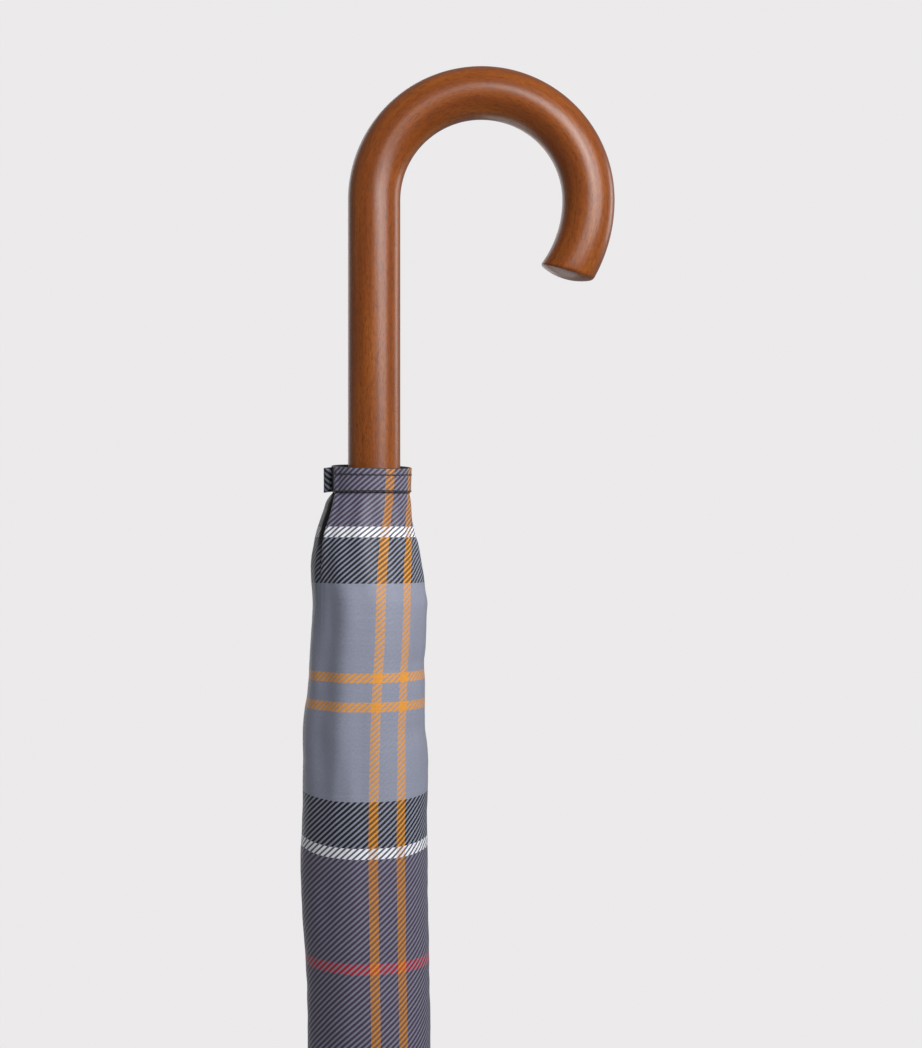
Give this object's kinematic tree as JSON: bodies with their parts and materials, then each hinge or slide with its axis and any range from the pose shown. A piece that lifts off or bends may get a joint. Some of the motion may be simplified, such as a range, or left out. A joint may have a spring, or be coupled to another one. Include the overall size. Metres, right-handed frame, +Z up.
{
  "type": "stick umbrella",
  "caption": "Closed walking umbrella in a plaid cloth sleeve, with a bent wooden crook handle, steel shaft, hinged ribs, sliding runner and furled canopy.",
  "frame": {"origin": "centre of the tip's end face, on the shaft's axis", "axes": "+Z up the shaft to the handle, +X towards the open side of the crook"},
  "size_m": [0.1312, 0.0472, 0.9],
  "materials": {
    "wood": "stained hardwood under satin lacquer",
    "nickel": "bright nickel plate",
    "black_steel": "satin black",
    "steel": "satin zinc plate",
    "tip_plastic": "matt black",
    "canopy_cloth": "plaid woven polyester",
    "sleeve_cloth": "plaid woven twill"
  },
  "bodies": {
    "stick": {"handle": "wood", "handle_collar": "nickel", "shaft": "black_steel", "tip_cap": "tip_plastic", "ferrule": "steel", "crown_cap": "nickel", "crown_washer": "tip_plastic", "notch": "steel", "notch_wire": "steel", "stopper_pin": "steel"},
    "rib_1": {"rib_1": "black_steel", "rib_tip_1": "nickel", "rivet_1": "nickel"},
    "rib_2": {"rib_2": "black_steel", "rib_tip_2": "nickel", "rivet_2": "nickel"},
    "rib_3": {"rib_3": "black_steel", "rib_tip_3": "nickel", "rivet_3": "nickel"},
    "rib_4": {"rib_4": "black_steel", "rib_tip_4": "nickel", "rivet_4": "nickel"},
    "rib_5": {"rib_5": "black_steel", "rib_tip_5": "nickel", "rivet_5": "nickel", "strap": "canopy_cloth", "stud_cap": "nickel", "stud_socket": "nickel"},
    "rib_6": {"rib_6": "black_steel", "rib_tip_6": "nickel", "rivet_6": "nickel"},
    "rib_7": {"rib_7": "black_steel", "rib_tip_7": "nickel", "rivet_7": "nickel"},
    "rib_8": {"rib_8": "black_steel", "rib_tip_8": "nickel", "rivet_8": "nickel"},
    "stretcher_1": {"stretcher_1": "black_steel"},
    "stretcher_2": {"stretcher_2": "black_steel"},
    "stretcher_3": {"stretcher_3": "black_steel"},
    "stretcher_4": {"stretcher_4": "black_steel"},
    "stretcher_5": {"stretcher_5": "black_steel"},
    "stretcher_6": {"stretcher_6": "black_steel"},
    "stretcher_7": {"stretcher_7": "black_steel"},
    "stretcher_8": {"stretcher_8": "black_steel"},
    "runner": {"runner": "steel", "runner_wire": "steel"},
    "gore_1": {"canopy_panel_1": "canopy_cloth"},
    "gore_2": {"canopy_panel_2": "canopy_cloth"},
    "gore_3": {"canopy_panel_3": "canopy_cloth"},
    "gore_4": {"canopy_panel_4": "canopy_cloth"},
    "gore_5": {"canopy_panel_5": "canopy_cloth"},
    "gore_6": {"canopy_panel_6": "canopy_cloth"},
    "gore_7": {"canopy_panel_7": "canopy_cloth"},
    "gore_8": {"canopy_panel_8": "canopy_cloth"},
    "sleeve": {"sleeve": "sleeve_cloth", "sleeve_hem": "sleeve_cloth", "sleeve_tab": "sleeve_cloth"},
    "bottom_catch": {"bottom_catch": "nickel"},
    "top_catch": {"top_catch": "nickel"}
  },
  "joints": [
    {"name": "open", "type": "hinge", "parent": "stick", "child": "rib_1", "pos_m": [0.007, 0, 0.068], "axis": [0, 1, 0], "range_deg": [0, 75], "deforming": ["strap", "stud_cap", "stud_socket"]},
    {"name": "rib_2_hinge", "type": "hinge", "parent": "stick", "child": "rib_2", "pos_m": [0.00495, 0.00495, 0.068], "axis": [-0.7071, 0.7071, 0], "range_deg": [0, 75]},
    {"name": "rib_3_hinge", "type": "hinge", "parent": "stick", "child": "rib_3", "pos_m": [0, 0.007, 0.068], "axis": [-1, 0, 0], "range_deg": [0, 75]},
    {"name": "rib_4_hinge", "type": "hinge", "parent": "stick", "child": "rib_4", "pos_m": [-0.00495, 0.00495, 0.068], "axis": [-0.7071, -0.7071, 0], "range_deg": [0, 75]},
    {"name": "rib_5_hinge", "type": "hinge", "parent": "stick", "child": "rib_5", "pos_m": [-0.007, 0, 0.068], "axis": [0, -1, 0], "range_deg": [0, 75]},
    {"name": "rib_6_hinge", "type": "hinge", "parent": "stick", "child": "rib_6", "pos_m": [-0.00495, -0.00495, 0.068], "axis": [0.7071, -0.7071, 0], "range_deg": [0, 75]},
    {"name": "rib_7_hinge", "type": "hinge", "parent": "stick", "child": "rib_7", "pos_m": [0, -0.007, 0.068], "axis": [1, 0, 0], "range_deg": [0, 75]},
    {"name": "rib_8_hinge", "type": "hinge", "parent": "stick", "child": "rib_8", "pos_m": [0.00495, -0.00495, 0.068], "axis": [0.7071, 0.7071, 0], "range_deg": [0, 75]},
    {"name": "stretcher_1_hinge", "type": "hinge", "parent": "rib_1", "child": "stretcher_1", "pos_m": [0.007, 0, 0.346], "axis": [0, 1, 0], "range_deg": [-150, 0]},
    {"name": "stretcher_2_hinge", "type": "hinge", "parent": "rib_2", "child": "stretcher_2", "pos_m": [0.00495, 0.00495, 0.346], "axis": [-0.7071, 0.7071, 0], "range_deg": [-150, 0]},
    {"name": "stretcher_3_hinge", "type": "hinge", "parent": "rib_3", "child": "stretcher_3", "pos_m": [0, 0.007, 0.346], "axis": [-1, 0, 0], "range_deg": [-150, 0]},
    {"name": "stretcher_4_hinge", "type": "hinge", "parent": "rib_4", "child": "stretcher_4", "pos_m": [-0.00495, 0.00495, 0.346], "axis": [-0.7071, -0.7071, 0], "range_deg": [-150, 0]},
    {"name": "stretcher_5_hinge", "type": "hinge", "parent": "rib_5", "child": "stretcher_5", "pos_m": [-0.007, 0, 0.346], "axis": [0, -1, 0], "range_deg": [-150, 0]},
    {"name": "stretcher_6_hinge", "type": "hinge", "parent": "rib_6", "child": "stretcher_6", "pos_m": [-0.00495, -0.00495, 0.346], "axis": [0.7071, -0.7071, 0], "range_deg": [-150, 0]},
    {"name": "stretcher_7_hinge", "type": "hinge", "parent": "rib_7", "child": "stretcher_7", "pos_m": [0, -0.007, 0.346], "axis": [1, 0, 0], "range_deg": [-150, 0]},
    {"name": "stretcher_8_hinge", "type": "hinge", "parent": "rib_8", "child": "stretcher_8", "pos_m": [0.00495, -0.00495, 0.346], "axis": [0.7071, 0.7071, 0], "range_deg": [-150, 0]},
    {"name": "runner_hinge", "type": "hinge", "parent": "stretcher_1", "child": "runner", "pos_m": [0.007, 0, 0.624], "axis": [0, 1, 0], "range_deg": [0, 75]},
    {"name": "gore_1_spread", "type": "slide", "parent": "rib_1", "child": "gore_1", "axis": [-0.099, 0.9239, -0.3696], "range_m": [0, 0.4563], "deforming": ["canopy_panel_1"]},
    {"name": "gore_2_spread", "type": "slide", "parent": "rib_2", "child": "gore_2", "axis": [-0.7233, 0.5832, -0.3696], "range_m": [0, 0.4563], "deforming": ["canopy_panel_2"]},
    {"name": "gore_3_spread", "type": "slide", "parent": "rib_3", "child": "gore_3", "axis": [-0.9239, -0.099, -0.3696], "range_m": [0, 0.4563], "deforming": ["canopy_panel_3"]},
    {"name": "gore_4_spread", "type": "slide", "parent": "rib_4", "child": "gore_4", "axis": [-0.5832, -0.7233, -0.3696], "range_m": [0, 0.4563], "deforming": ["canopy_panel_4"]},
    {"name": "gore_5_spread", "type": "slide", "parent": "rib_5", "child": "gore_5", "axis": [0.099, -0.9239, -0.3696], "range_m": [0, 0.4563], "deforming": ["canopy_panel_5"]},
    {"name": "gore_6_spread", "type": "slide", "parent": "rib_6", "child": "gore_6", "axis": [0.7233, -0.5832, -0.3696], "range_m": [0, 0.4563], "deforming": ["canopy_panel_6"]},
    {"name": "gore_7_spread", "type": "slide", "parent": "rib_7", "child": "gore_7", "axis": [0.9239, 0.099, -0.3696], "range_m": [0, 0.4563], "deforming": ["canopy_panel_7"]},
    {"name": "gore_8_spread", "type": "slide", "parent": "rib_8", "child": "gore_8", "axis": [0.5832, 0.7233, -0.3696], "range_m": [0, 0.4563], "deforming": ["canopy_panel_8"]},
    {"name": "sleeve_off", "type": "slide", "parent": "stick", "child": "sleeve", "axis": [0, 0, -1], "range_m": [0, 0.74], "deforming": ["sleeve", "sleeve_hem", "sleeve_tab"]},
    {"name": "bottom_catch_press", "type": "slide", "parent": "stick", "child": "bottom_catch", "axis": [-0.9239, -0.3827, 0], "range_m": [0, 0.0024], "stiffness_N_per_m": 800, "springref_m": -0.0004, "deforming": ["bottom_catch"]},
    {"name": "top_catch_press", "type": "slide", "parent": "stick", "child": "top_catch", "axis": [-0.9239, -0.3827, 0], "range_m": [0, 0.0024], "stiffness_N_per_m": 800, "springref_m": -0.0004, "deforming": ["top_catch"]}
  ],
  "couplings": [
    {"joint": "rib_2_hinge", "follows": "open", "ratio": 1},
    {"joint": "rib_3_hinge", "follows": "open", "ratio": 1},
    {"joint": "rib_4_hinge", "follows": "open", "ratio": 1},
    {"joint": "rib_5_hinge", "follows": "open", "ratio": 1},
    {"joint": "rib_6_hinge", "follows": "open", "ratio": 1},
    {"joint": "rib_7_hinge", "follows": "open", "ratio": 1},
    {"joint": "rib_8_hinge", "follows": "open", "ratio": 1},
    {"joint": "stretcher_1_hinge", "follows": "open", "ratio": -2},
    {"joint": "stretcher_2_hinge", "follows": "open", "ratio": -2},
    {"joint": "stretcher_3_hinge", "follows": "open", "ratio": -2},
    {"joint": "stretcher_4_hinge", "follows": "open", "ratio": -2},
    {"joint": "stretcher_5_hinge", "follows": "open", "ratio": -2},
    {"joint": "stretcher_6_hinge", "follows": "open", "ratio": -2},
    {"joint": "stretcher_7_hinge", "follows": "open", "ratio": -2},
    {"joint": "stretcher_8_hinge", "follows": "open", "ratio": -2},
    {"joint": "runner_hinge", "follows": "open", "ratio": 1},
    {"joint": "gore_1_spread", "follows": "open", "m_per_rad": 0.34859},
    {"joint": "gore_2_spread", "follows": "open", "m_per_rad": 0.34859},
    {"joint": "gore_3_spread", "follows": "open", "m_per_rad": 0.34859},
    {"joint": "gore_4_spread", "follows": "open", "m_per_rad": 0.34859},
    {"joint": "gore_5_spread", "follows": "open", "m_per_rad": 0.34859},
    {"joint": "gore_6_spread", "follows": "open", "m_per_rad": 0.34859},
    {"joint": "gore_7_spread", "follows": "open", "m_per_rad": 0.34859},
    {"joint": "gore_8_spread", "follows": "open", "m_per_rad": 0.34859}
  ]
}
